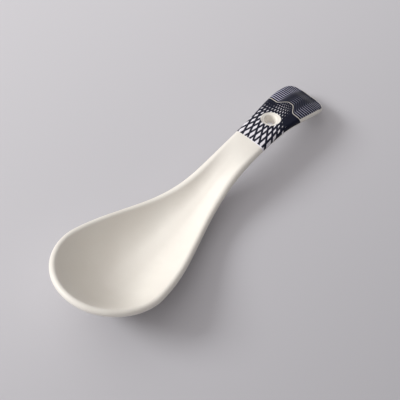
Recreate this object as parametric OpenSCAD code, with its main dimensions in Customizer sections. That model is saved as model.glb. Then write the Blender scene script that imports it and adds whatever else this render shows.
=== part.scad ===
// Chinese soup spoon of glazed stoneware, with a printed handle end.
// The origin is the centre of the foot that the spoon rests on.
// The handle runs along +X, the bowl opens to +Z, and both sides of Y = 0 are alike.
// The sizes are those of the glazed surface: the clay inside is one glaze thickness smaller.
// The spoon lies tipped back on its foot, with the handle's end just above the table.

/* [Overall] */
// Length from the tip of the bowl to the end of the handle
spoon_len = 137.5; // [130:0.5:150]
// Distance from the tip of the bowl to the centre of the foot
foot_from_tip = 44; // [42:0.5:46]

/* [Bowl] */
// Width of the bowl over its rim
bowl_w = 45; // [41:0.5:50]
// Distance from the tip to the widest place of the bowl
nose_len = 24; // [21:0.5:27]
// Height of the rim at the tip above the table
tip_h = 26; // [24:0.2:28]
// Height of the rim above the table where it is lowest
dip_h = 9.7; // [9:0.1:10.5]
// Distance from the tip to the lowest place of the rim
dip_from_tip = 61.5; // [58:0.5:65]
// Thickness of the bowl's floor over the belly
floor_t = 3.2; // [2.8:0.1:3.8]
// Distance from the tip to the place where the bowl's floor is lowest
floor_from_tip = 38; // [35:0.5:41]
// Rise of the bowl's floor and underside from their lowest place to the tip, without the wall's curl
nose_lift = 6; // [4:0.2:9]
// Radius of the rounded rim, which is half of the wall there
rim_r = 1.4; // [1.2:0.05:1.6]

/* [Belly and foot] */
// Height of the glazed belly above the table
belly_h = 0.6; // [0.5:0.05:0.8]
// Distance from the tip to the place where the belly begins to rise to the handle
belly_from_tip = 40; // [37:0.5:43]
// Length of the bare foot
foot_len = 24; // [20:0.5:26]
// Width of the bare foot
foot_w = 15; // [12:0.5:17]
// Depth that the foot is rooted into the clay of the belly
foot_root = 1; // [0.8:0.1:1.4]

/* [Handle] */
// Width of the handle where it is narrowest
neck_w = 13.5; // [11.5:0.5:16]
// Distance from the tip to the narrowest place of the handle
neck_from_tip = 97.5; // [94:0.5:99]
// Width of the handle at its end
tail_w = 18; // [16:0.5:22]
// Length of the rounded end of the handle
tail_len = 7.5; // [6:0.5:9]
// Thickness of the handle over its middle
handle_t = 5.6; // [5:0.1:6]
// Radius of the handle's rounded edges
edge_r = 1.8; // [1.4:0.1:2.1]
// Rise of the handle's middle over its edges
crown = 0.3; // [0:0.1:0.6]
// Distance past the neck over which the bowl's hollow runs out
channel_run = 5; // [2:0.5:8]
// Height of the handle's crest above the table
crest_h = 15.5; // [14.5:0.1:17]
// Distance from the crest of the handle to its end
crest_from_end = 28; // [25:0.5:31]
// Height of the handle's end above the table
end_h = 6.2; // [6.1:0.1:7.6]

/* [Hanging hole] */
// Diameter of the hanging hole, inside its glaze
hole_d = 4.4; // [3.4:0.1:5]
// Distance from the hole's centre to the end of the handle
hole_from_end = 25; // [21:0.5:27]

/* [Glaze and print] */
// Thickness of the glaze
glaze_t = 0.3; // [0.2:0.05:0.4]
// Thickness of the printed film
print_t = 0.06; // [0.04:0.01:0.1]
// Distance from the start of the print to the end of the handle
print_from_end = 37.5; // [34:0.5:39]
// Diameter of the clear ring that the print leaves round the hole
reserve_d = 6.4; // [5.8:0.1:7.4]

/* [Hidden] */

clay_color = [0.86, 0.82, 0.75];
glaze_color = [0.97, 0.96, 0.92];
print_color = [0.10, 0.13, 0.24];

// How far the drill runs past the handle on each side
drill_overrun = 3;
round_sides = 96;

// Places along the spoon
tip_x = -foot_from_tip;
end_x = tip_x + spoon_len;
nose_x = tip_x + nose_len;
dip_x = tip_x + dip_from_tip;
floor_x = tip_x + floor_from_tip;
belly_x = tip_x + belly_from_tip;
neck_x = tip_x + neck_from_tip;
channel_x = neck_x + channel_run;
print_x = end_x - print_from_end;
hole_x = end_x - hole_from_end;
crest_x = end_x - crest_from_end;
tail_x = end_x - tail_len;

// Powers of the curves: higher is flatter at first and sharper after
taper_leave_power = 1.28;
taper_meet_power = 2.29;
flare_leave_power = 2.8;
flare_meet_power = 1.25;
rise_leave_power = 1.46;
rise_meet_power = 3.28;
bend_power = 2;
// Squareness of the handle's end: 2 is an ellipse, and more is squarer
tail_power = 3.35;
// Shares of the half width over which the belly and the floor are flat
belly_flat_share = 0.28;
floor_flat_share = 0.15;
// How gently the rim bends up from its lowest place to the tip: near 0 is a sharp bend
dip_soft_share = 0.32;

// Bays along the spoon before and within the print, and rays round its two ends
plain_bays = 26;
print_bays = 13;
bays = plain_bays + print_bays;
nose_rays = 26;
tail_rays = 24;
// Steps of one cross-section: up the outside, over the rim and down the inside
outer_steps = 7;
rim_steps = 6;
inner_steps = 6;
profile_len = outer_steps + 1 + rim_steps + inner_steps;
// Steps of the rim's rounding that the print reaches over
print_rim_steps = 4;

// An S-shaped rise from 0 to 1 while t goes from 0 to 1
function ease(t, leave, meet) =
    let (c = min(max(t, 0), 1))
    pow(c, leave) / (pow(c, leave) + pow(1 - c, meet));

// Half of the spoon's width at x, between its round nose and its round end
function half_width(x) =
    x < neck_x
    ? bowl_w / 2 - (bowl_w - neck_w) / 2
        * ease((x - nose_x) / (neck_x - nose_x), taper_leave_power, taper_meet_power)
    : neck_w / 2 + (tail_w - neck_w) / 2
        * ease((x - neck_x) / (tail_x - neck_x), flare_leave_power, flare_meet_power);

// A rise from 0 to 1 while t goes from 0 to 1, which bends at first and is nearly straight after
function bent(t) =
    (norm([t, dip_soft_share]) - dip_soft_share) / (norm([1, dip_soft_share]) - dip_soft_share);

// Height of the rim at x, and of the handle's edges further on
function rim_height(x) =
    x < dip_x
    ? dip_h + (tip_h - dip_h) * bent((dip_x - x) / (dip_x - tip_x))
    : x < crest_x
    ? dip_h + (crest_h - dip_h) * ease((x - dip_x) / (crest_x - dip_x), rise_leave_power, rise_meet_power)
    : crest_h - (crest_h - end_h) * pow((x - crest_x) / (end_x - crest_x), bend_power);

// How far the bowl's floor and underside have risen towards the tip at x
function lift(x) = nose_lift * pow(max(floor_x - x, 0) / (floor_x - tip_x), bend_power);

// How far the bowl has turned into the handle at x, below and above
function turn_below(x) = ease((x - belly_x) / (neck_x - belly_x), bend_power, bend_power);
function turn_above(x) = ease((x - floor_x) / (channel_x - floor_x), bend_power, bend_power);

// Heights of the spoon's middle at x, below and above, before its rim takes over at the ends
function bottom_height(x) =
    let (belly = belly_h + lift(x))
    belly + (rim_height(x) - handle_t - belly) * turn_below(x);
function top_height(x) =
    let (floor_h = belly_h + lift(x) + floor_t)
    floor_h + (rim_height(x) + crown - floor_h) * turn_above(x);

// Radius of the rounded rim at x, and of the handle's edges further on
function edge_radius(x) = rim_r + (edge_r - rim_r) * turn_above(x);

// Height of a wall's middle under the reach of a ray, with side -1 for below and 1 for above
function level(ray, reach, side, grow) =
    let (x = station_x(ray[0]) + ray[1] * reach)
    side < 0 ? bottom_height(x) - grow : top_height(x) + grow;

// A wall from the middle out to its joint with the rim's rounding: along the level, then bending up
function wall_point(t, ray, joint, flat_share, side, grow) =
    let (
        reach = (flat_share + (1 - flat_share) * t) * joint[0],
        start = level(ray, reach, side, grow)
    )
    [reach, start + (joint[1] - start) * pow(t, bend_power)];
function wall_slope(ray, joint, flat_share, side, grow) =
    atan((joint[1] - level(ray, joint[0], side, grow)) * bend_power / (joint[0] * (1 - flat_share)));

// A point on the rim's rounding, whose centre is c
function rim_point(c, r, angle) = [c[0] + r * cos(angle), c[1] + r * sin(angle)];

// Angle on the rounding where a wall runs into it smoothly, found by repeating
function joint_angle(ray, c, r, flat_share, side, grow, slope = 60, repeats = 8) =
    let (angle = slope + side * 90)
    repeats == 0
    ? angle
    : joint_angle(ray, c, r, flat_share, side, grow,
        wall_slope(ray, rim_point(c, r, angle), flat_share, side, grow), repeats - 1);

// One ray's cross-section from near the middle below, over the rim, to near the middle above
function profile(ray, grow) =
    let (
        rim_x = station_x(ray[0]) + ray[1] * ray[3],
        inset = edge_radius(station_x(ray[0])),
        r = inset + grow,
        c = [ray[3] - inset, rim_height(rim_x) - inset],
        out_a = joint_angle(ray, c, r, belly_flat_share, -1, grow),
        in_a = joint_angle(ray, c, r, floor_flat_share, 1, grow),
        out_joint = rim_point(c, r, out_a),
        in_joint = rim_point(c, r, in_a)
    )
    concat(
        [for (i = [0 : outer_steps])
            wall_point(i / outer_steps, ray, out_joint, belly_flat_share, -1, grow)],
        [for (i = [1 : rim_steps])
            rim_point(c, r, out_a + (in_a - out_a) * i / rim_steps)],
        [for (i = [1 : inner_steps])
            wall_point(1 - i / inner_steps, ray, in_joint, floor_flat_share, 1, grow)]
    );

// Place of a station: the stations before the print, then those within it
function station_x(i) =
    i < plain_bays
    ? nose_x + (print_x - nose_x) * i / plain_bays
    : print_x + (tail_x - print_x) * (i - plain_bays) / print_bays;

// Cross-sections go out from the middle as rays: [station, unit x, unit y, reach]
function side_ray(i, side) = [i, 0, side, half_width(station_x(i))];
function tail_ray(angle) =
    let (
        along = pow(abs(cos(angle)) / tail_len, tail_power),
        across = pow(abs(sin(angle)) / (tail_w / 2), tail_power)
    )
    [bays, cos(angle), sin(angle), pow(along + across, -1 / tail_power)];
function nose_ray(angle) =
    let (
        edge = [nose_len * cos(angle), bowl_w / 2 * sin(angle)],
        reach = norm(edge)
    )
    [0, edge[0] / reach, edge[1] / reach, reach];

// All rays, once round the spoon
rays = concat(
    [for (i = [0 : bays]) side_ray(i, 1)],
    [for (i = [1 : tail_rays - 1]) tail_ray(90 - 180 * i / tail_rays)],
    [for (i = [bays : -1 : 0]) side_ray(i, -1)],
    [for (i = [1 : nose_rays - 1]) nose_ray(-90 - 180 * i / nose_rays)]
);
print_first = plain_bays;
print_last = bays + tail_rays + print_bays;
print_edge = outer_steps + rim_steps - print_rim_steps;

// Points of one ray's cross-section in space
function ray_points(ray, grow) =
    [for (p = profile(ray, grow)) [station_x(ray[0]) + ray[1] * p[0], ray[2] * p[0], p[1]]];

// All points of the spoon's skin: every ray's cross-section, then the middle line below and above
function skin(grow) = concat(
    [for (ray = rays) each ray_points(ray, grow)],
    [for (i = [0 : bays]) [station_x(i), 0, bottom_height(station_x(i)) - grow]],
    [for (i = [0 : bays]) [station_x(i), 0, top_height(station_x(i)) + grow]]
);
ring_points = len(rays) * profile_len;
skin_points = ring_points + 2 * (bays + 1);

// Number of the skin's point at step j of ray i, where -1 is the middle below and profile_len above
function point_at(i, j) =
    j < 0 ? ring_points + rays[i][0]
    : j == profile_len ? ring_points + bays + 1 + rays[i][0]
    : i * profile_len + j;

// Two triangles for a four-sided face, or one where two of its corners meet
function quad(a, b, c, d) =
    [for (face = [[a, b, c], [a, c, d]])
        if (face[0] != face[1] && face[1] != face[2] && face[2] != face[0]) face];

// The skin's faces from ray first to ray last, from step low to the middle above
function skin_faces(first, last, low) =
    [for (i = [first : last - 1], j = [low : profile_len - 1])
        let (next = (i + 1) % len(rays))
        each quad(point_at(i, j), point_at(next, j), point_at(next, j + 1), point_at(i, j + 1))];

// The whole spoon as one closed solid, with its skin moved out by grow
module envelope(grow) {
    polyhedron(points = skin(grow), faces = skin_faces(0, len(rays), -1));
}

// The hanging hole's drill, square to the handle where it goes through
module drill(diameter) {
    lean = atan((top_height(hole_x + hole_d) - top_height(hole_x - hole_d)) / (2 * hole_d));
    translate([hole_x, 0, top_height(hole_x)])
        rotate([0, -lean, 0])
            translate([0, 0, -handle_t - crown - drill_overrun])
                cylinder(d = diameter, h = handle_t + crown + 2 * drill_overrun, $fn = round_sides);
}

// The oval foot, left bare of glaze, which stands out of the belly
module foot() {
    linear_extrude(height = belly_h + glaze_t + foot_root)
        polygon([for (i = [0 : round_sides - 1])
            [foot_len / 2 * cos(360 * i / round_sides), foot_w / 2 * sin(360 * i / round_sides)]]);
}

// The fired clay, whose hole has room for the glaze that lines it
module clay_body() {
    color(clay_color)
        difference() {
            union() {
                envelope(-glaze_t);
                foot();
            }
            drill(hole_d + 2 * glaze_t);
        }
}

// The glaze over all the clay but the foot, and down through the hole
module glaze_coat() {
    color(glaze_color)
        difference() {
            envelope(0);
            clay_body();
            drill(hole_d);
        }
}

// The printed film on the handle's end, with its clear ring round the hole
module handle_print() {
    patch = skin_faces(print_first, print_last, print_edge);
    under = [for (face = patch) [face[2], face[1], face[0]]];
    over = [for (face = patch) [for (corner = face) corner + skin_points]];
    border = concat(
        [for (i = [print_first : print_last]) point_at(i, print_edge)],
        [for (j = [print_edge + 1 : profile_len]) point_at(print_last, j)],
        [for (j = [profile_len - 1 : -1 : print_edge + 1]) point_at(print_first, j)]
    );
    walls = [for (i = [0 : len(border) - 1])
        let (
            a = border[i],
            b = border[(i + 1) % len(border)]
        )
        each quad(a, b, b + skin_points, a + skin_points)];
    color(print_color)
        difference() {
            polyhedron(points = concat(skin(0), skin(print_t)), faces = concat(under, over, walls));
            drill(reserve_d);
        }
}

clay_body();
glaze_coat();
handle_print();
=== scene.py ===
"""Looks of the ceramic soup spoon: fine glaze, printed film, bare clay, and the studio round it."""

import bmesh
import bpy
import numpy as np
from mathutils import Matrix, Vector


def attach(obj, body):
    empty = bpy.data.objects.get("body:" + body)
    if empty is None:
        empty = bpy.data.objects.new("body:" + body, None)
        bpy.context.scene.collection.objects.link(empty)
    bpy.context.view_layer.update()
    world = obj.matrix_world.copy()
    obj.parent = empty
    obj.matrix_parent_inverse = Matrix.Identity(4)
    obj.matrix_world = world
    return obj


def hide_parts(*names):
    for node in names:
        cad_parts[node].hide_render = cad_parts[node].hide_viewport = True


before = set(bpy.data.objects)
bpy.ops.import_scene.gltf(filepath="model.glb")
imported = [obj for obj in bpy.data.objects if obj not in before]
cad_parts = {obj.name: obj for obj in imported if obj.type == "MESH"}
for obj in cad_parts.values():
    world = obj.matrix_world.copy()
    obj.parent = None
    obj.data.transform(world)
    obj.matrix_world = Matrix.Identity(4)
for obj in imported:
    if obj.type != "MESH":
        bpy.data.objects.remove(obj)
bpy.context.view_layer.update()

MM = 0.001

# Sizes of the glazed spoon in mm, as in the construction
SPOON_LEN, FOOT_FROM_TIP = 137.5, 44.0
BOWL_W, NOSE_LEN = 45.0, 24.0
TIP_H, DIP_H, DIP_FROM_TIP = 26.0, 9.7, 61.5
FLOOR_T, FLOOR_FROM_TIP, NOSE_LIFT, RIM_R = 3.2, 38.0, 6.0, 1.4
BELLY_H, BELLY_FROM_TIP = 0.6, 40.0
FOOT_LEN, FOOT_W = 24.0, 15.0
NECK_W, NECK_FROM_TIP = 13.5, 97.5
TAIL_W, TAIL_LEN = 18.0, 7.5
HANDLE_T, EDGE_R, CROWN, CHANNEL_RUN = 5.6, 1.8, 0.3, 5.0
CREST_H, CREST_FROM_END, END_H = 15.5, 28.0, 6.2
HOLE_D, HOLE_FROM_END = 4.4, 25.0
GLAZE_T, PRINT_T, PRINT_FROM_END, RESERVE_D = 0.3, 0.06, 37.5, 6.4
# The fine skins are rounder than the solids' facets, so they lie this much further in
GLAZE_INSET, PRINT_INSET = 0.004, 0.022

TIP_X = -FOOT_FROM_TIP
END_X = TIP_X + SPOON_LEN
NOSE_X = TIP_X + NOSE_LEN
DIP_X = TIP_X + DIP_FROM_TIP
FLOOR_X = TIP_X + FLOOR_FROM_TIP
BELLY_X = TIP_X + BELLY_FROM_TIP
NECK_X = TIP_X + NECK_FROM_TIP
CHANNEL_X = NECK_X + CHANNEL_RUN
PRINT_X = END_X - PRINT_FROM_END
HOLE_X = END_X - HOLE_FROM_END
CREST_X = END_X - CREST_FROM_END
TAIL_X = END_X - TAIL_LEN

# Powers of the curves' two ends, and of the handle's outline
TAPER, FLARE, RISE, TURN = (1.28, 2.29), (2.8, 1.25), (1.46, 3.28), (2.0, 2.0)
TAIL_POWER = 3.35
# Flat shares of the cross-sections below and above, and how softly the rim's dip bends
BELLY_FLAT, FLOOR_FLAT, DIP_SOFT = 0.28, 0.15, 0.32

# Bays along each side, without and with print, and rays round the nose and the tail
PLAIN_BAYS, PRINT_BAYS = 84, 56
BAYS = PLAIN_BAYS + PRINT_BAYS
NOSE_RAYS, TAIL_RAYS = 64, 60
# Steps of each cross-section: below, round the rim and above
OUTER, RIM, INNER = 18, 14, 20
# Rays of one side, rays between the sides at the tail, and points of a cross-section
SIDE_COUNT, TAIL_COUNT, PROFILE = BAYS + 1, TAIL_RAYS - 1, OUTER + RIM + INNER - 1
# How often the wall's joint with the rim and the drill's way to the wall are worked out again
JOINT_REPEATS, DRILL_REPEATS = 12, 6
JOINT_SLOPE = np.radians(60.0)


def ease(t, powers):
    """A rise from 0 to 1 with a power for each end."""
    c = np.clip(t, 0.0, 1.0)
    return c ** powers[0] / (c ** powers[0] + (1 - c) ** powers[1])


def half_width(x):
    """Half the spoon's width between the nose's and the tail's middle."""
    bowl = BOWL_W / 2 - (BOWL_W - NECK_W) / 2 * ease((x - NOSE_X) / (NECK_X - NOSE_X), TAPER)
    tail = NECK_W / 2 + (TAIL_W - NECK_W) / 2 * ease((x - NECK_X) / (TAIL_X - NECK_X), FLARE)
    return np.where(x < NECK_X, bowl, tail)


def bent(t):
    """A rise from 0 to 1 that bends at first and is nearly straight after."""
    return (np.hypot(t, DIP_SOFT) - DIP_SOFT) / (np.hypot(1.0, DIP_SOFT) - DIP_SOFT)


def rim_height(x):
    """Height of the rim and of the handle's edge."""
    near = DIP_H + (TIP_H - DIP_H) * bent((DIP_X - x) / (DIP_X - TIP_X))
    rise = DIP_H + (CREST_H - DIP_H) * ease((x - DIP_X) / (CREST_X - DIP_X), RISE)
    fall = CREST_H - (CREST_H - END_H) * ((x - CREST_X) / (END_X - CREST_X)) ** 2
    return np.where(x < DIP_X, near, np.where(x < CREST_X, rise, fall))


def turn_above(x):
    """How far the top has gone over from the bowl's floor to the handle's back."""
    return ease((x - FLOOR_X) / (CHANNEL_X - FLOOR_X), TURN)


def lift(x):
    """How far the belly and the floor rise toward the nose."""
    return NOSE_LIFT * (np.maximum(FLOOR_X - x, 0.0) / (FLOOR_X - TIP_X)) ** 2


def bottom_height(x):
    turn = ease((x - BELLY_X) / (NECK_X - BELLY_X), TURN)
    belly = BELLY_H + lift(x)
    return belly + (rim_height(x) - HANDLE_T - belly) * turn


def top_height(x):
    floor = BELLY_H + lift(x) + FLOOR_T
    return floor + (rim_height(x) + CROWN - floor) * turn_above(x)


def edge_radius(x):
    return RIM_R + (EDGE_R - RIM_R) * turn_above(x)


class Rays:
    """Cross-sections that go out from the middle line: start x, direction and reach."""

    def __init__(self, x, ux, uy, reach):
        self.x, self.ux, self.uy, self.reach = (np.asarray(a, float) for a in (x, ux, uy, reach))
        self.rim_x = self.x + self.ux * self.reach

    def joints(self, grow):
        """The rounding's centre, and where the walls below and above run into it."""
        r = edge_radius(self.x)
        cx, cz = self.reach - r, rim_height(self.rim_x) - r
        out = []
        for side, height, flat in ((-1, bottom_height, BELLY_FLAT), (1, top_height, FLOOR_FLAT)):
            slope = np.full_like(self.x, JOINT_SLOPE)
            for _ in range(JOINT_REPEATS):
                angle = slope + side * np.pi / 2
                jx, jz = cx + (r + grow) * np.cos(angle), cz + (r + grow) * np.sin(angle)
                level = height(self.x + self.ux * jx) + side * grow
                slope = np.arctan((jz - level) * 2 / (jx * (1 - flat)))
            angle = slope + side * np.pi / 2
            out.append((angle, cx + (r + grow) * np.cos(angle), cz + (r + grow) * np.sin(angle)))
        return cx, cz, r + grow, out

    def wall(self, grow, side, rho):
        """Height of the wall below (side -1) or above (side 1) at distance rho from the middle."""
        height, flat = (bottom_height, BELLY_FLAT) if side < 0 else (top_height, FLOOR_FLAT)
        _, _, _, found = self.joints(grow)
        _, jx, jz = found[0 if side < 0 else 1]
        t = np.clip((rho / jx - flat) / (1 - flat), 0, None)
        here = height(self.x + self.ux * rho) + side * grow
        return here + (jz - here) * t ** 2

    def profile(self, grow):
        """Reach and height of every cross-section's points, from below the middle round to above it."""
        cx, cz, r, ((out_a, out_x, _), (in_a, in_x, _)) = self.joints(grow)
        reach, height = [], []
        for k in range(1, OUTER + 1):
            rho = out_x * k / OUTER
            reach.append(rho)
            height.append(self.wall(grow, -1, rho))
        for k in range(1, RIM + 1):
            a = out_a + (in_a - out_a) * k / RIM
            reach.append(cx + r * np.cos(a))
            height.append(cz + r * np.sin(a))
        for k in range(1, INNER):
            rho = in_x * (1 - k / INNER)
            reach.append(rho)
            height.append(self.wall(grow, 1, rho))
        return np.array(reach).T, np.array(height).T


def tail_end(ux, uy):
    """Distance from the tail's middle to the handle's end in a direction."""
    along, across = np.abs(ux) / TAIL_LEN, np.abs(uy) / (TAIL_W / 2)
    return (along ** TAIL_POWER + across ** TAIL_POWER) ** (-1 / TAIL_POWER)


def ray_at(x, y):
    """The ray that passes over each place (x, y) of the plan, and the distance along it."""
    x, y = np.asarray(x, float), np.asarray(y, float)
    side_reach = half_width(np.clip(x, NOSE_X, TAIL_X))
    nose_a, tail_a = np.arctan2(y, x - NOSE_X), np.arctan2(y, x - TAIL_X)
    nose, tail = x < NOSE_X, x > TAIL_X
    start = np.where(nose, NOSE_X, np.where(tail, TAIL_X, x))
    ux = np.where(nose, np.cos(nose_a), np.where(tail, np.cos(tail_a), 0.0))
    uy = np.where(nose, np.sin(nose_a), np.where(tail, np.sin(tail_a), np.where(y < 0, -1.0, 1.0)))
    nose_reach = 1 / np.hypot(ux / NOSE_LEN, uy / (BOWL_W / 2))
    reach = np.where(nose, nose_reach, np.where(tail, tail_end(ux, uy), side_reach))
    return Rays(start, ux, uy, reach), np.hypot(x - start, y)


def wall_height(x, y, side, grow):
    """Height of the spoon's surface over (x, y), below or above, inside the rim's rounding."""
    rays, rho = ray_at(x, y)
    return rays.wall(grow, side, rho)


def stations():
    """Where the rays start on the middle line, from the nose's to the tail's middle."""
    plain = NOSE_X + (PRINT_X - NOSE_X) * np.arange(PLAIN_BAYS) / PLAIN_BAYS
    printed = PRINT_X + (TAIL_X - PRINT_X) * np.arange(PRINT_BAYS + 1) / PRINT_BAYS
    return np.concatenate([plain, printed])


def all_rays():
    """Every ray once round the spoon: left side, round the tail, right side back, round the nose."""
    xs = stations()
    sides = half_width(xs)
    tail = np.pi / 2 - np.pi * np.arange(1, TAIL_RAYS) / TAIL_RAYS
    tail_reach = tail_end(np.cos(tail), np.sin(tail))
    nose = -np.pi / 2 - np.pi * np.arange(1, NOSE_RAYS) / NOSE_RAYS
    edge_x, edge_y = NOSE_LEN * np.cos(nose), BOWL_W / 2 * np.sin(nose)
    nose_reach = np.hypot(edge_x, edge_y)
    zero, one = np.zeros_like(xs), np.ones_like(xs)
    return Rays(
        np.concatenate([xs, np.full(len(tail), TAIL_X), xs[::-1], np.full(len(nose), NOSE_X)]),
        np.concatenate([zero, np.cos(tail), zero, edge_x / nose_reach]),
        np.concatenate([one, np.sin(tail), -one, edge_y / nose_reach]),
        np.concatenate([sides, tail_reach, sides[::-1], nose_reach]),
    )


class Mesh:
    """Gathers points and faces, then makes one smooth Blender mesh of them."""

    def __init__(self):
        self.points, self.faces = [], []

    def add(self, points):
        first = sum(len(p) for p in self.points)
        self.points.append(np.asarray(points, float).reshape(-1, 3))
        return first

    def face(self, *corners):
        """A face, or nothing where its corners fall together."""
        kept = [c for i, c in enumerate(corners) if c != corners[i - 1]]
        if len(kept) > 2:
            self.faces.append(kept)

    def bridge(self, a, b):
        """Faces between two closed rows of point numbers."""
        for i in range(len(a)):
            j = (i + 1) % len(a)
            self.face(a[i], a[j], b[j], b[i])

    def build(self, name, material):
        mesh = bpy.data.meshes.new(name)
        points = np.concatenate(self.points) * MM
        used = sorted({c for f in self.faces for c in f})
        number = {c: i for i, c in enumerate(used)}
        mesh.from_pydata(points[used].tolist(), [], [[number[c] for c in f] for f in self.faces])
        turned = bmesh.new()
        turned.from_mesh(mesh)
        bmesh.ops.recalc_face_normals(turned, faces=turned.faces)
        turned.to_mesh(mesh)
        turned.free()
        mesh.update()
        mesh.shade_smooth()
        mesh.materials.append(material)
        piece = bpy.data.objects.new(name, mesh)
        bpy.context.scene.collection.objects.link(piece)
        return piece


class Skin:
    """One skin of the spoon, moved out by grow, as rows of points along the rays."""

    def __init__(self, mesh, rays, grow):
        self.mesh, self.count = mesh, len(rays.x)
        reach, height = rays.profile(grow)
        x, y = rays.x[:, None] + rays.ux[:, None] * reach, rays.uy[:, None] * reach
        self.first = mesh.add(np.stack([x, y, height], axis=-1))
        xs = stations()
        middle = np.zeros_like(xs)
        self.low = mesh.add(np.stack([xs, middle, bottom_height(xs) - grow], axis=-1))
        self.high = mesh.add(np.stack([xs, middle, top_height(xs) + grow], axis=-1))

    def right(self, station):
        """The ray of a station on the right side."""
        return SIDE_COUNT + TAIL_COUNT + BAYS - station

    def station(self, i):
        """The station that a ray starts from on the middle line."""
        if i < SIDE_COUNT:
            return i
        if i < SIDE_COUNT + TAIL_COUNT:
            return BAYS
        return max(self.right(i), 0)

    def at(self, i, j):
        """The number of a ray's point; the middle lines below and above end each ray."""
        i %= self.count
        if j < 0:
            return self.low + self.station(i)
        if j == PROFILE:
            return self.high + self.station(i)
        return self.first + i * PROFILE + j

    def skin(self, first, last, low, skip=()):
        """Faces from ray first to ray last, from profile step low to the middle above."""
        for i in range(first, last):
            for j in range(low, PROFILE):
                if not any(j in steps and i % self.count in rays for rays, steps in skip):
                    corners = (i, j), (i + 1, j), (i + 1, j + 1), (i, j + 1)
                    self.mesh.face(*(self.at(*corner) for corner in corners))

    def window(self, start, end, steps, side):
        """A window in the wall, round the middle line between two stations: its cells and its border."""
        rays = set(range(start, end)) | set(range(self.right(end), self.right(start)))
        edge = steps - 1 if side < 0 else PROFILE - steps
        inward = list(range(edge - 1, -2, -1) if side < 0 else range(edge + 1, PROFILE + 1))
        cells = range(-1, edge) if side < 0 else range(edge, PROFILE)
        border = [self.at(i, edge) for i in range(start, end + 1)]
        border += [self.at(end, j) for j in inward]
        border += [self.at(self.right(end), j) for j in inward[-2::-1]]
        border += [self.at(i, edge) for i in range(self.right(end), self.right(start) + 1)]
        border += [self.at(self.right(start), j) for j in inward]
        border += [self.at(start, j) for j in inward[-2::-1]]
        return (rays, set(cells)), border

    def foot_window(self, end, steps):
        """The belly's window for the foot, which takes in the rays round the nose too."""
        rays = set(range(end)) | set(range(self.right(end), self.count))
        edge = steps - 1
        border = [self.at(i, edge) for i in range(end + 1)]
        border += [self.at(end, j) for j in range(edge - 1, -2, -1)]
        border += [self.at(self.right(end), j) for j in range(0, edge)]
        border += [self.at(i, edge) for i in range(self.right(end), self.count)]
        return (rays, set(range(-1, edge))), border


def places(mesh, numbers):
    """The points that have these numbers."""
    return np.concatenate(mesh.points)[numbers]


def stretch(mesh, previous, points):
    """One more row of faces from the row before to these points."""
    first = mesh.add(points)
    row = list(range(first, first + len(previous)))
    mesh.bridge(previous, row)
    return row


def close_in(mesh, border, ring, side, grow, rows):
    """Rows of faces from a window's border to a ring of points, which lie on the same wall."""
    start = places(mesh, border)[:, :2]
    row = border
    for k in range(1, rows):
        plan = start + (ring[:, :2] - start) * k / rows
        heights = wall_height(plan[:, 0], plan[:, 1], side, grow)
        row = stretch(mesh, row, np.column_stack([plan, heights]))
    return stretch(mesh, row, ring)


# Rows of faces of the hole's rounded lips and of its bore
LIP_ROWS, BORE_ROWS = 5, 3

# The hanging hole's drill, square to the handle
LEAN = np.arctan2(top_height(HOLE_X + HOLE_D) - top_height(HOLE_X - HOLE_D), 2 * HOLE_D)
DRILL = np.array([-np.sin(LEAN), 0.0, np.cos(LEAN)])
ALONG = np.array([np.cos(LEAN), 0.0, np.sin(LEAN)])
HOLE_TOP = np.array([HOLE_X, 0.0, float(top_height(HOLE_X))])


def hole_angles(mesh, border):
    """Angles round the drill at which a border's points lie."""
    spot = places(mesh, border) - HOLE_TOP
    return np.arctan2(spot[:, 1], spot @ ALONG)


def round_drill(angles):
    """Directions square to the drill at these angles."""
    return np.cos(angles)[:, None] * ALONG + np.sin(angles)[:, None] * [0.0, 1.0, 0.0]


def hole_ring(angles, radius, side, grow):
    """A ring round the drill on the wall above or below, and how far along the drill each point is."""
    flat = HOLE_TOP + radius * round_drill(angles)
    depth = np.zeros(len(angles)) if side > 0 else np.full(len(angles), -HANDLE_T - CROWN)
    for _ in range(DRILL_REPEATS):
        spot = flat + depth[:, None] * DRILL
        depth = depth + (wall_height(spot[:, 0], spot[:, 1], side, grow) - spot[:, 2]) / DRILL[2]
    return flat + depth[:, None] * DRILL, depth


def line_hole(mesh, top, bottom, angles, radius, lip, grow):
    """The hole's lining, with rounded lips above and below, between two rings round the drill."""
    circle = round_drill(angles)
    _, high = hole_ring(angles, radius + lip, 1, grow)
    _, low = hole_ring(angles, radius + lip, -1, grow)
    turns = np.linspace(0, np.pi / 2, LIP_ROWS + 1)[1:]
    path = [(radius + lip * (1 - np.sin(a)), high - lip * (1 - np.cos(a))) for a in turns]
    start, end = high - lip, low + lip
    path += [(radius, start + (end - start) * k / BORE_ROWS) for k in range(1, BORE_ROWS)]
    path += [(radius + lip * (1 - np.sin(a)), low + lip * (1 - np.cos(a))) for a in turns[::-1]]
    row = top
    for reach, depth in path:
        row = stretch(mesh, row, HOLE_TOP + reach * circle + depth[:, None] * DRILL)
    mesh.bridge(row, bottom)


def nearest_station(x):
    return int(np.argmin(np.abs(stations() - x)))


# Radii of the hole's lip outside and behind the glaze, and half the length of the windows round it
HOLE_LIP, CLAY_LIP = 0.85, 0.65
GLAZE_WINDOW, PRINT_WINDOW = 4.6, 5.2
# How far the windows reach up the walls in profile steps, and their rows of faces
GLAZE_STEPS, PRINT_STEPS, HOLE_ROWS = 14, 17, 4
# The glaze's edge round the foot: its gap, its rounding, the window's margin, steps and rows
FOOT_GAP, FOOT_ROUND, FOOT_MARGIN, FOOT_STEPS, FOOT_ROWS = 0.12, 0.36, 3.0, 10, 16
ROUND_ROWS = 5


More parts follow.
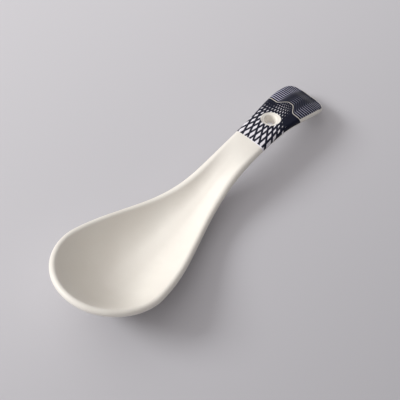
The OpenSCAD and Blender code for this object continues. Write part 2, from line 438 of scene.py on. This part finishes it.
def glaze_skin(mesh, rays, grow, bore, lip, foot_gap):
    """One side of the glaze, with its way through the handle: returns the ring round the foot."""
    skin = Skin(mesh, rays, grow)
    start, end = nearest_station(HOLE_X - GLAZE_WINDOW), nearest_station(HOLE_X + GLAZE_WINDOW)
    above, above_border = skin.window(start, end, GLAZE_STEPS, 1)
    below, below_border = skin.window(start, end, GLAZE_STEPS, -1)
    foot, foot_border = skin.foot_window(nearest_station(FOOT_LEN / 2 + FOOT_MARGIN), FOOT_STEPS)
    skin.skin(0, skin.count, -1, [above, below, foot])
    angles = hole_angles(mesh, above_border)
    rings = []
    for border, side in ((above_border, 1), (below_border, -1)):
        ring, _ = hole_ring(angles, bore + lip, side, grow)
        rings.append(close_in(mesh, border, ring, side, grow, HOLE_ROWS))
    line_hole(mesh, rings[0], rings[1], angles, bore, lip, grow)
    spot = places(mesh, foot_border)
    turn = np.arctan2(spot[:, 1] / FOOT_W, spot[:, 0] / FOOT_LEN)
    x, y = (FOOT_LEN / 2 + foot_gap) * np.cos(turn), (FOOT_W / 2 + foot_gap) * np.sin(turn)
    ring = np.column_stack([x, y, wall_height(x, y, -1, grow)])
    return close_in(mesh, foot_border, ring, -1, grow, FOOT_ROWS)


def make_glaze(material):
    """The glaze as a closed shell, which ends in a rounded edge round the bare foot."""
    mesh, rays = Mesh(), all_rays()
    outer = glaze_skin(mesh, rays, -GLAZE_INSET, HOLE_D / 2, HOLE_LIP, FOOT_GAP + FOOT_ROUND)
    inner = glaze_skin(mesh, rays, -GLAZE_T, HOLE_D / 2 + GLAZE_T, CLAY_LIP, FOOT_GAP)
    row = outer
    start, end = places(mesh, outer), places(mesh, inner)
    for a in np.linspace(0, np.pi / 2, ROUND_ROWS + 1)[1:-1]:
        plan = start[:, :2] + (end[:, :2] - start[:, :2]) * np.sin(a)
        height = start[:, 2] + (end[:, 2] - start[:, 2]) * (1 - np.cos(a))
        row = stretch(mesh, row, np.column_stack([plan, height]))
    mesh.bridge(row, inner)
    return mesh.build("glaze_coat_fine", material)


# The film starts at this profile step, a little below the handle's edge, and sinks in this far
PRINT_STEP, PRINT_SUNK = OUTER + RIM // 3, 0.02


def make_print(material):
    """The printed film on the handle's end, with its clear ring round the hole."""
    mesh, rays = Mesh(), all_rays()
    start, end = nearest_station(HOLE_X - PRINT_WINDOW), nearest_station(HOLE_X + PRINT_WINDOW)
    first, last = PLAIN_BAYS, SIDE_COUNT + TAIL_COUNT + PRINT_BAYS
    sides = []
    for grow in (PRINT_T - PRINT_INSET, -PRINT_SUNK):
        skin = Skin(mesh, rays, grow)
        window, border = skin.window(start, end, PRINT_STEPS, 1)
        skin.skin(first, last, PRINT_STEP, [window])
        angles = hole_angles(mesh, border)
        ring, _ = hole_ring(angles, RESERVE_D / 2, 1, grow)
        inner = close_in(mesh, border, ring, 1, grow, HOLE_ROWS)
        rim = [skin.at(i, PRINT_STEP) for i in range(first, last + 1)]
        rim += [skin.at(last, j) for j in range(PRINT_STEP + 1, PROFILE + 1)]
        rim += [skin.at(first, j) for j in range(PROFILE - 1, PRINT_STEP, -1)]
        sides.append((inner, rim))
    mesh.bridge(sides[0][0], sides[1][0])
    mesh.bridge(sides[0][1], sides[1][1])
    return mesh.build("handle_print_fine", material)


class Graph:
    """Builds the nodes of a material or of the world from sums of Terms."""

    def __init__(self, block, shader="Principled BSDF"):
        self.block = block
        block.use_nodes = True
        self.nodes, self.links = block.node_tree.nodes, block.node_tree.links
        self.shader = self.nodes[shader]

    def node(self, kind, **values):
        node = self.nodes.new(kind)
        for key, value in values.items():
            setattr(node, key, value)
        return node

    def put(self, socket, value):
        """Links a Term or a socket to the socket, or sets a plain value on it."""
        if isinstance(value, Term):
            value = value.socket
        if isinstance(value, bpy.types.NodeSocket):
            self.links.new(value, socket)
        else:
            socket.default_value = value

    def math(self, operation, *values):
        node = self.node("ShaderNodeMath", operation=operation)
        for socket, value in zip(node.inputs, values):
            self.put(socket, value)
        return Term(self, node.outputs[0])

    def smooth(self, value, low, high):
        """A smooth step from 0 at low to 1 at high."""
        node = self.node("ShaderNodeMapRange", interpolation_type="SMOOTHSTEP")
        for socket, v in zip(node.inputs, (value, low, high, 0.0, 1.0)):
            self.put(socket, v)
        return Term(self, node.outputs[0])

    def mix(self, share, a, b):
        node = self.node("ShaderNodeMix", data_type="RGBA")
        self.put(node.inputs[0], share)
        self.put(node.inputs[6], a)
        self.put(node.inputs[7], b)
        return node.outputs[2]

    def noise(self, scale, detail, roughness):
        """Noise over the object; scale is in waves per metre."""
        node = self.node("ShaderNodeTexNoise")
        self.put(node.inputs["Vector"], self.node("ShaderNodeTexCoord").outputs["Object"])
        node.inputs["Scale"].default_value = scale
        node.inputs["Detail"].default_value = detail
        node.inputs["Roughness"].default_value = roughness
        return Term(self, node.outputs[0])

    def place(self):
        """Place on the spoon in mm: along the handle, across toward the right side, and height."""
        split = self.node("ShaderNodeSeparateXYZ")
        self.put(split.inputs[0], self.node("ShaderNodeTexCoord").outputs["Object"])
        x, y, z = (Term(self, socket) for socket in split.outputs)
        return x * (1 / MM), y * (-1 / MM), z * (1 / MM)

    def bump(self, height, distance, below=None):
        """Bumps as high as the distance in metres, on top of the bumps below."""
        node = self.node("ShaderNodeBump")
        node.inputs["Strength"].default_value = 1.0
        node.inputs["Distance"].default_value = distance
        self.put(node.inputs["Height"], height)
        if below is not None:
            self.put(node.inputs["Normal"], below)
        return node.outputs[0]


class Term:
    """A socket that sums can be written with; each sum adds its nodes to the graph."""

    def __init__(self, graph, socket):
        self.graph, self.socket = graph, socket

    def __add__(self, other):
        return self.graph.math("ADD", self, other)

    def __sub__(self, other):
        return self.graph.math("SUBTRACT", self, other)

    def __rsub__(self, other):
        return self.graph.math("SUBTRACT", other, self)

    def __mul__(self, other):
        return self.graph.math("MULTIPLY", self, other)

    def __truediv__(self, other):
        return self.graph.math("DIVIDE", self, other)

    def __rtruediv__(self, other):
        return self.graph.math("DIVIDE", other, self)

    __radd__, __rmul__ = __add__, __mul__

    def size(self):
        return self.graph.math("ABSOLUTE", self)

    def exp(self):
        return self.graph.math("EXPONENT", self)

    def part(self):
        return self.graph.math("FRACT", self)

    def root(self):
        return self.graph.math("SQRT", self)

    def least(self, other):
        return self.graph.math("MINIMUM", self, other)

    def most(self, other):
        return self.graph.math("MAXIMUM", self, other)


# Colours of the glaze where it is thin and thick, and of the ink
GLAZE_LIGHT, GLAZE_DEEP = (0.93, 0.898, 0.84, 1.0), (0.893, 0.842, 0.779, 1.0)
INK_DARK, INK_THIN = (0.004, 0.005, 0.013, 1.0), (0.010, 0.013, 0.034, 1.0)
CLAY_DARK, CLAY_LIGHT = (0.66, 0.58, 0.47, 1.0), (0.78, 0.71, 0.60, 1.0)
CLAY_GRAIN = (0.30, 0.24, 0.18, 1.0)
# Gloss of the glaze: roughness and how much it varies, and heights of its bumps in metres
GLAZE_ROUGH, GLAZE_VARIES, GLAZE_IOR = 0.40, 0.10, 1.46
WAVE_BUMP, SKIN_BUMP, INK_BUMP = 0.00035, 0.00003, 0.00004
CLAY_ROUGH, CLAY_VARIES, CLAY_BUMP = 0.78, 0.15, 0.00012
# The specular level of the film, and how much of it the ink takes away
SPECULAR, INK_DULLS = 0.5, 0.25
# Noises, each with its waves per metre, detail and roughness
CLOUDS, GLOSS, WAVY, PORES = (55.0, 3.0, 0.55), (420.0, 2.0, 0.5), (95.0, 1.0, 0.5), (900.0, 2.0, 0.5)
INK_CLOUDS, CLAY_CLOUDS, GRAINS = (700.0, 3.0, 0.6), (130.0, 4.0, 0.6), (2600.0, 2.0, 0.5)
CLAY_GLOSS, CLAY_COARSE = (1500.0, 2.0, 0.5), (1400.0, 4.0, 0.65)
# Where in the noise the deep glaze and the clay's grains start and are full, and their strength
DEEP_FROM, DEEP_SHARE = (0.36, 0.68), 0.35
GRAIN_FROM, GRAIN_SHARE = (0.64, 0.72), 0.5


def glaze_colour(graph):
    """Warm white that varies a little where the glaze runs thick or thin."""
    deep = graph.smooth(graph.noise(*CLOUDS), *DEEP_FROM)
    return graph.mix(deep * DEEP_SHARE, GLAZE_LIGHT, GLAZE_DEEP)


def glaze_finish(graph, ink=None):
    """Satin gloss with the slight waviness of fired glaze."""
    shader = graph.shader
    graph.put(shader.inputs["Roughness"], graph.noise(*GLOSS) * GLAZE_VARIES + GLAZE_ROUGH)
    shader.inputs["IOR"].default_value = GLAZE_IOR
    wave = graph.bump(graph.noise(*WAVY), WAVE_BUMP)
    skin = graph.bump(graph.noise(*PORES), SKIN_BUMP, wave)
    if ink is not None:
        skin = graph.bump(ink, INK_BUMP, skin)
    graph.put(shader.inputs["Normal"], skin)


def glaze_material():
    graph = Graph(bpy.data.materials.new("white_glaze"))
    graph.put(graph.shader.inputs["Base Color"], glaze_colour(graph))
    glaze_finish(graph)
    return graph.block


def clay_material():
    """Bare fired stoneware: sandy, matte, with fine dark grains."""
    graph = Graph(bpy.data.materials.new("bare_clay"))
    body = graph.mix(graph.noise(*CLAY_CLOUDS), CLAY_DARK, CLAY_LIGHT)
    grain = graph.smooth(graph.noise(*GRAINS), *GRAIN_FROM)
    graph.put(graph.shader.inputs["Base Color"], graph.mix(grain * GRAIN_SHARE, body, CLAY_GRAIN))
    graph.put(graph.shader.inputs["Roughness"], graph.noise(*CLAY_GLOSS) * CLAY_VARIES + CLAY_ROUGH)
    graph.put(graph.shader.inputs["Normal"], graph.bump(graph.noise(*CLAY_COARSE), CLAY_BUMP))
    return graph.block


# The print's sizes are in mm; x runs along the handle, v across it from the left side to the right
# Soft edge of every line
INK_SOFT = 0.07

# The net: how its rows lean and bow across the handle, and where and how fast they crowd along it
NET_LEAN, NET_BOW = 0.48, 0.038
ROWS_X, ROWS_RATE, ROWS_COUNT, ROWS_START = 60.6, 0.0486, 6.0, 0.919
# How its columns crowd, their count per mm, the line that they fan from and their shift
COLUMNS_X, COLUMNS_RATE, COLUMNS_BEND = 57.43, 0.0265, 0.00125
COLUMNS_COUNT, FAN_FROM, FAN_SHIFT = 0.876, 2.79, 2.2
# Half a cord's width, its gains on the right and the left side, and its loss along the handle
CORD_HALF, CORD_RIGHT, CORD_LEFT, CORD_THINS = 0.40, 0.25, 0.15, 0.13
# Where those gains and that loss start and are full
RIGHT_V, RIGHT_X = (1.0, 6.0), (66.5, 73.0)
LEFT_V, LEFT_X = (-1.5, -4.5), (70.0, 75.0)
THINS_X = (68.0, 77.0)


def net_ink(graph, x, v):
    """A fishing net whose meshes shrink along the handle and are drawn askew across it."""
    lean = NET_LEAN * v + NET_BOW * (v * v)
    lean_rate = NET_LEAN + 2 * NET_BOW * v
    growth = ((x - lean - ROWS_X) * ROWS_RATE).exp()
    along, along_rate = ROWS_COUNT * (growth - ROWS_START), ROWS_COUNT * ROWS_RATE * growth
    u = x - COLUMNS_X
    crowd = (COLUMNS_RATE * u + COLUMNS_BEND * (u * u)).exp()
    fan = COLUMNS_COUNT * (v + FAN_FROM) * crowd
    fan_x, fan_v = fan * (COLUMNS_RATE + 2 * COLUMNS_BEND * u), COLUMNS_COUNT * crowd
    cords = None
    for sign in (-1.0, 1.0):
        phase = (along + sign * (fan + FAN_SHIFT)) * 0.5
        slope_x = along_rate + sign * fan_x
        slope_v = sign * fan_v - along_rate * lean_rate
        steep = (slope_x * slope_x + slope_v * slope_v).root() * 0.5
        away = (phase.part() - 0.5).size() / steep
        cords = away if cords is None else cords.least(away)
    right = graph.smooth(v, *RIGHT_V) * graph.smooth(x, *RIGHT_X)
    left = graph.smooth(v, *LEFT_V) * graph.smooth(x, *LEFT_X)
    half = CORD_HALF + CORD_RIGHT * right + CORD_LEFT * left - CORD_THINS * graph.smooth(x, *THINS_X)
    return 1.0 - graph.smooth(cords, half - INK_SOFT, half + INK_SOFT)


# The waves: where they start, how far they rise at the middle and their pitch
WAVE_X, WAVE_RISE, WAVE_PITCH = 77.1, 3.7, 1.16
# The crest's middle, and half its flat and half its foot across the handle
WAVE_MIDDLE, CREST_HALF, SLOPE_HALF = 0.05, 0.7, 4.4
# Half a line's width: in the middle, its gains on the left and the right side, and the border line's
LINE_HALF, LINE_LEFT, LINE_RIGHT, LINE_FIRST = 0.09, 0.07, 0.02, 0.14
# How clear the lines are in the middle, and their gains on the left and the right side
CLEAR, CLEAR_LEFT, CLEAR_RIGHT = 0.5, 0.5, 0.2
# Their loss along the handle, how much less that is on the right side, and where it starts and is full
CLEAR_FADES, FADES_LESS, FADES_X = 0.25, 0.15, (80.0, 90.0)
# What stays of a line on the slopes, how fast it goes there, and what stays of the border line
SLOPE_STAYS, SLOPE_FADES, BORDER_STAYS = 0.12, 1.6, 0.45
# Where the left and the right side's gains start and are full, and where the border line ends in pitches
WAVES_LEFT, WAVES_RIGHT, FIRST_ENDS = (-2.0, -4.0), (3.0, 5.0), (0.4, 0.6)
# The waves' field starts this far before the border line's middle, with this soft edge
BORDER_START, BORDER_SOFT = 0.2, 0.04


def wave_ink(graph, x, v):
    """Combed waves: the border's curve repeated toward the handle's end, clear where it runs across.

    Returns the waves' ink, where the waves are, and where their first line, the border, is.
    """
    off = (v - WAVE_MIDDLE).size()
    run = SLOPE_HALF - CREST_HALF
    turn = ((off - CREST_HALF) / run).most(0.0).least(1.0)
    border = WAVE_X + WAVE_RISE * (1.0 - graph.smooth(off, CREST_HALF, SLOPE_HALF))
    slope = turn * (1.0 - turn) * (6 * WAVE_RISE / run)
    flat = 1.0 / (1.0 + slope * slope).root()
    phase = (x - border) / WAVE_PITCH
    away = ((phase + 0.5).part() - 0.5).size() * WAVE_PITCH * flat
    first = 1.0 - graph.smooth(phase, *FIRST_ENDS)
    broad = SLOPE_STAYS + (1 - SLOPE_STAYS) * (slope * slope * -SLOPE_FADES).exp()
    left, right = graph.smooth(v, *WAVES_LEFT), graph.smooth(v, *WAVES_RIGHT)
    fade = (CLEAR_FADES - FADES_LESS * right) * graph.smooth(x, *FADES_X)
    clear = CLEAR + CLEAR_LEFT * left + CLEAR_RIGHT * right - fade
    clear = (clear * broad).most(first * (BORDER_STAYS + (1 - BORDER_STAYS) * flat))
    half = (LINE_HALF + LINE_LEFT * left + LINE_RIGHT * right).most(LINE_FIRST * first)
    line = (1.0 - graph.smooth(away, half - INK_SOFT, half + INK_SOFT)) * clear
    past = graph.smooth(x - border, -BORDER_START - BORDER_SOFT, -BORDER_START + BORDER_SOFT)
    return 1.0 - line, past, first


# The strip starts this far under the handle's edge, and deeper by this much on the left and at the end
STRIP_DEPTH, STRIP_LEFT, STRIP_END, STRIP_SOFT = 0.4, 1.6, 0.9, 0.05
# The strip round the end as a share of the way out from the tail's middle, its gain and its soft edge
END_STRIP, END_WIDENS, END_SOFT = 0.055, 0.05, 0.01
# Where the left side's strip stops and the end's strip deepens and widens, before the handle's end
LEFT_STOPS, END_DEEPENS, WIDENS = (2.0, 3.5), (6.0, 2.0), (3.0, 1.5)


def clear_edge(graph, x, v, z):
    """The strip that the waves leave bare: along the right side's edge and round the handle's end."""
    fall = (x - CREST_X) * (1 / (END_X - CREST_X))
    under = CREST_H - (CREST_H - END_H) * (fall * fall) - z
    before = END_X - x
    left = graph.smooth(v, *WAVES_LEFT) * graph.smooth(before, *LEFT_STOPS)
    depth = STRIP_DEPTH + STRIP_LEFT * left + STRIP_END * graph.smooth(before, *END_DEEPENS)
    side = graph.smooth(under, depth - STRIP_SOFT, depth + STRIP_SOFT)
    along, across = (x - TAIL_X).most(0.0) * (1 / TAIL_LEN), v * (2 / TAIL_W)
    along, across = along * along, across * across
    reach = (along * along + across * across).root().root()
    inner = 1.0 - END_STRIP + left - END_WIDENS * graph.smooth(before, *WIDENS)
    return side.most(graph.smooth(reach, inner - END_SOFT, inner + END_SOFT))


# The bare oval round the hole: half its length and width, its turn and its place beside the hole
RESERVE_LONG, RESERVE_SHORT, RESERVE_TURN = 4.0, 3.2, 0.84
RESERVE_X, RESERVE_V, RESERVE_EDGE = 0.2, -0.1, (0.96, 1.04)
# Where the net starts at the middle and is full, and how that line leans
NET_START, START_LEAN = (56.1, 56.2), 0.06
# The tints of the clear parts and their share
NET_TINT, WAVE_TINT = (0.88, 0.86, 0.95, 1.0), (0.70, 0.72, 0.97, 1.0)
TINT_SHARE = 0.9


def reserve(graph, x, v):
    """The bare oval round the hole, turned a little across the handle."""
    c, s = np.cos(RESERVE_TURN), np.sin(RESERVE_TURN)
    u, w = x - HOLE_X - RESERVE_X, v - RESERVE_V
    along, across = (u * c + w * s) * (1 / RESERVE_LONG), (w * c - u * s) * (1 / RESERVE_SHORT)
    return graph.smooth((along * along + across * across).root(), *RESERVE_EDGE)


def print_material():
    """The film: navy ink by the net and the waves, and glaze in a cool tint between."""
    graph = Graph(bpy.data.materials.new("navy_print"))
    x, v, z = graph.place()
    oval = reserve(graph, x, v)
    net = net_ink(graph, x, v) * graph.smooth(x - START_LEAN * v, *NET_START) * oval
    wave, past, first = wave_ink(graph, x, v)
    edge = clear_edge(graph, x, v, z)
    wave = wave * (1.0 - edge)
    ink = net + (wave - net) * past
    tone = graph.mix(graph.noise(*INK_CLOUDS), INK_DARK, INK_THIN)
    tint = graph.mix(past, NET_TINT, WAVE_TINT)
    bare = (1.0 - oval).most(edge.most(first) * past)
    clear = graph.mix(TINT_SHARE - TINT_SHARE * bare, glaze_colour(graph), tint)
    graph.put(graph.shader.inputs["Base Color"], graph.mix(ink, clear, tone))
    glaze_finish(graph, ink)
    graph.put(graph.shader.inputs["Specular IOR Level"], SPECULAR - INK_DULLS * ink)
    return graph.block


# The floor: half its side in metres, its colours with painted light falloff (darker away from the key's
# side), and how far to each side of the spoon they change in mm
FLOOR_SIDE, FLOOR_CHANGE, FLOOR_ROUGH = 4.0, 260.0, 0.9
FLOOR_PAINTED_SHADE, FLOOR_PAINTED_LIGHT = (0.387, 0.383, 0.414, 1.0), (0.803, 0.795, 0.839, 1.0)


def floor_material():
    """Plain pale board with painted light: its colour is a little brighter toward the key's side and
    darker away from it.
    """
    graph = Graph(bpy.data.materials.new("studio_floor"))
    _, v, _ = graph.place()
    # Painted light falloff: the colour runs from the painted shade away from the key to the painted light
    # on the key's side
    share = graph.smooth(v, FLOOR_CHANGE, -FLOOR_CHANGE)
    graph.put(graph.shader.inputs["Base Color"], graph.mix(share, FLOOR_PAINTED_SHADE, FLOOR_PAINTED_LIGHT))
    graph.put(graph.shader.inputs["Roughness"], FLOOR_ROUGH)
    graph.shader.inputs["Specular IOR Level"].default_value = 0.0
    return graph.block


glaze = make_glaze(glaze_material())
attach(glaze, "root")
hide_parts("glaze_coat")

film = make_print(print_material())
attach(film, "root")
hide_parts("handle_print")

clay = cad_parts["clay_body"]
clay.data.materials.clear()
clay.data.materials.append(clay_material())

floor_mesh = bpy.data.meshes.new("floor")
corners = [(FLOOR_SIDE * x, FLOOR_SIDE * y, 0.0) for x, y in ((-1, -1), (1, -1), (1, 1), (-1, 1))]
floor_mesh.from_pydata(corners, [], [(0, 1, 2, 3)])
floor_mesh.materials.append(floor_material())
floor = bpy.data.objects.new("floor", floor_mesh)
bpy.context.scene.collection.objects.link(floor)

# Soft key light, given by where it stands seen from the spoon
KEY_FROM = Vector((-0.494, 0.662, 0.564))
KEY_LEVEL, KEY_SOFTNESS, KEY_COLOUR = 1.63, 0.42, (0.99, 1.0, 0.985)
key_data = bpy.data.lights.new("key", "SUN")
key_data.energy, key_data.angle, key_data.color = KEY_LEVEL, KEY_SOFTNESS, KEY_COLOUR
key = bpy.data.objects.new("key", key_data)
key.rotation_euler = KEY_FROM.to_track_quat("Z", "Y").to_euler()
bpy.context.scene.collection.objects.link(key)

# Light from all round, stronger on the key's side by one share and overhead by the other
SKY_LEVEL, SKY_LEAN, SKY_RISE = 0.47, 0.95, 0.8
SKY_COLOUR = (1.0, 0.965, 0.945, 1.0)
# The level at which the camera sees the surround past the floor
SKY_SEEN = 0.55


def studio_world():
    """A soft surround that is brighter on the key's side and overhead, and darker low on the other."""
    graph = Graph(bpy.data.worlds.new("studio"), "Background")
    graph.put(graph.shader.inputs["Color"], SKY_COLOUR)
    direction = graph.node("ShaderNodeTexCoord").outputs["Generated"]
    toward = graph.node("ShaderNodeVectorMath", operation="DOT_PRODUCT")
    graph.put(toward.inputs[0], direction)
    graph.put(toward.inputs[1], Vector((KEY_FROM.x, KEY_FROM.y, 0.0)).normalized())
    height = graph.node("ShaderNodeSeparateXYZ")
    graph.put(height.inputs[0], direction)
    lean, rise = Term(graph, toward.outputs["Value"]), Term(graph, height.outputs["Z"])
    level = (lean * SKY_LEAN + 1.0) * SKY_LEVEL * (rise * (2 * SKY_RISE) + (1.0 - SKY_RISE))
    seen = graph.node("ShaderNodeMix")
    graph.put(seen.inputs[0], graph.node("ShaderNodeLightPath").outputs["Is Camera Ray"])
    graph.put(seen.inputs[2], level)
    graph.put(seen.inputs[3], SKY_SEEN)
    graph.put(graph.shader.inputs["Strength"], seen.outputs[0])
    return graph.block


bpy.context.scene.world = studio_world()

# The camera's place, aim and range in metres, 59 degrees above the table, and its lens in mm
CAMERA_AT, LOOK_AT = Vector((-0.2023, -0.2054, 0.5128)), Vector((0.0299, 0.0023, 0.0))
CAMERA_LENS, SENSOR_W = 139.20, 36.0
CAMERA_NEAR, CAMERA_FAR = 0.01, 20.0
camera_data = bpy.data.cameras.new("camera")
camera_data.lens, camera_data.sensor_width = CAMERA_LENS, SENSOR_W
camera_data.clip_start, camera_data.clip_end = CAMERA_NEAR, CAMERA_FAR
camera = bpy.data.objects.new("camera", camera_data)
camera.location = CAMERA_AT
camera.rotation_euler = (CAMERA_AT - LOOK_AT).to_track_quat("Z", "Y").to_euler()
bpy.context.scene.collection.objects.link(camera)
bpy.context.scene.camera = camera
bpy.context.scene.view_settings.view_transform = "Standard"
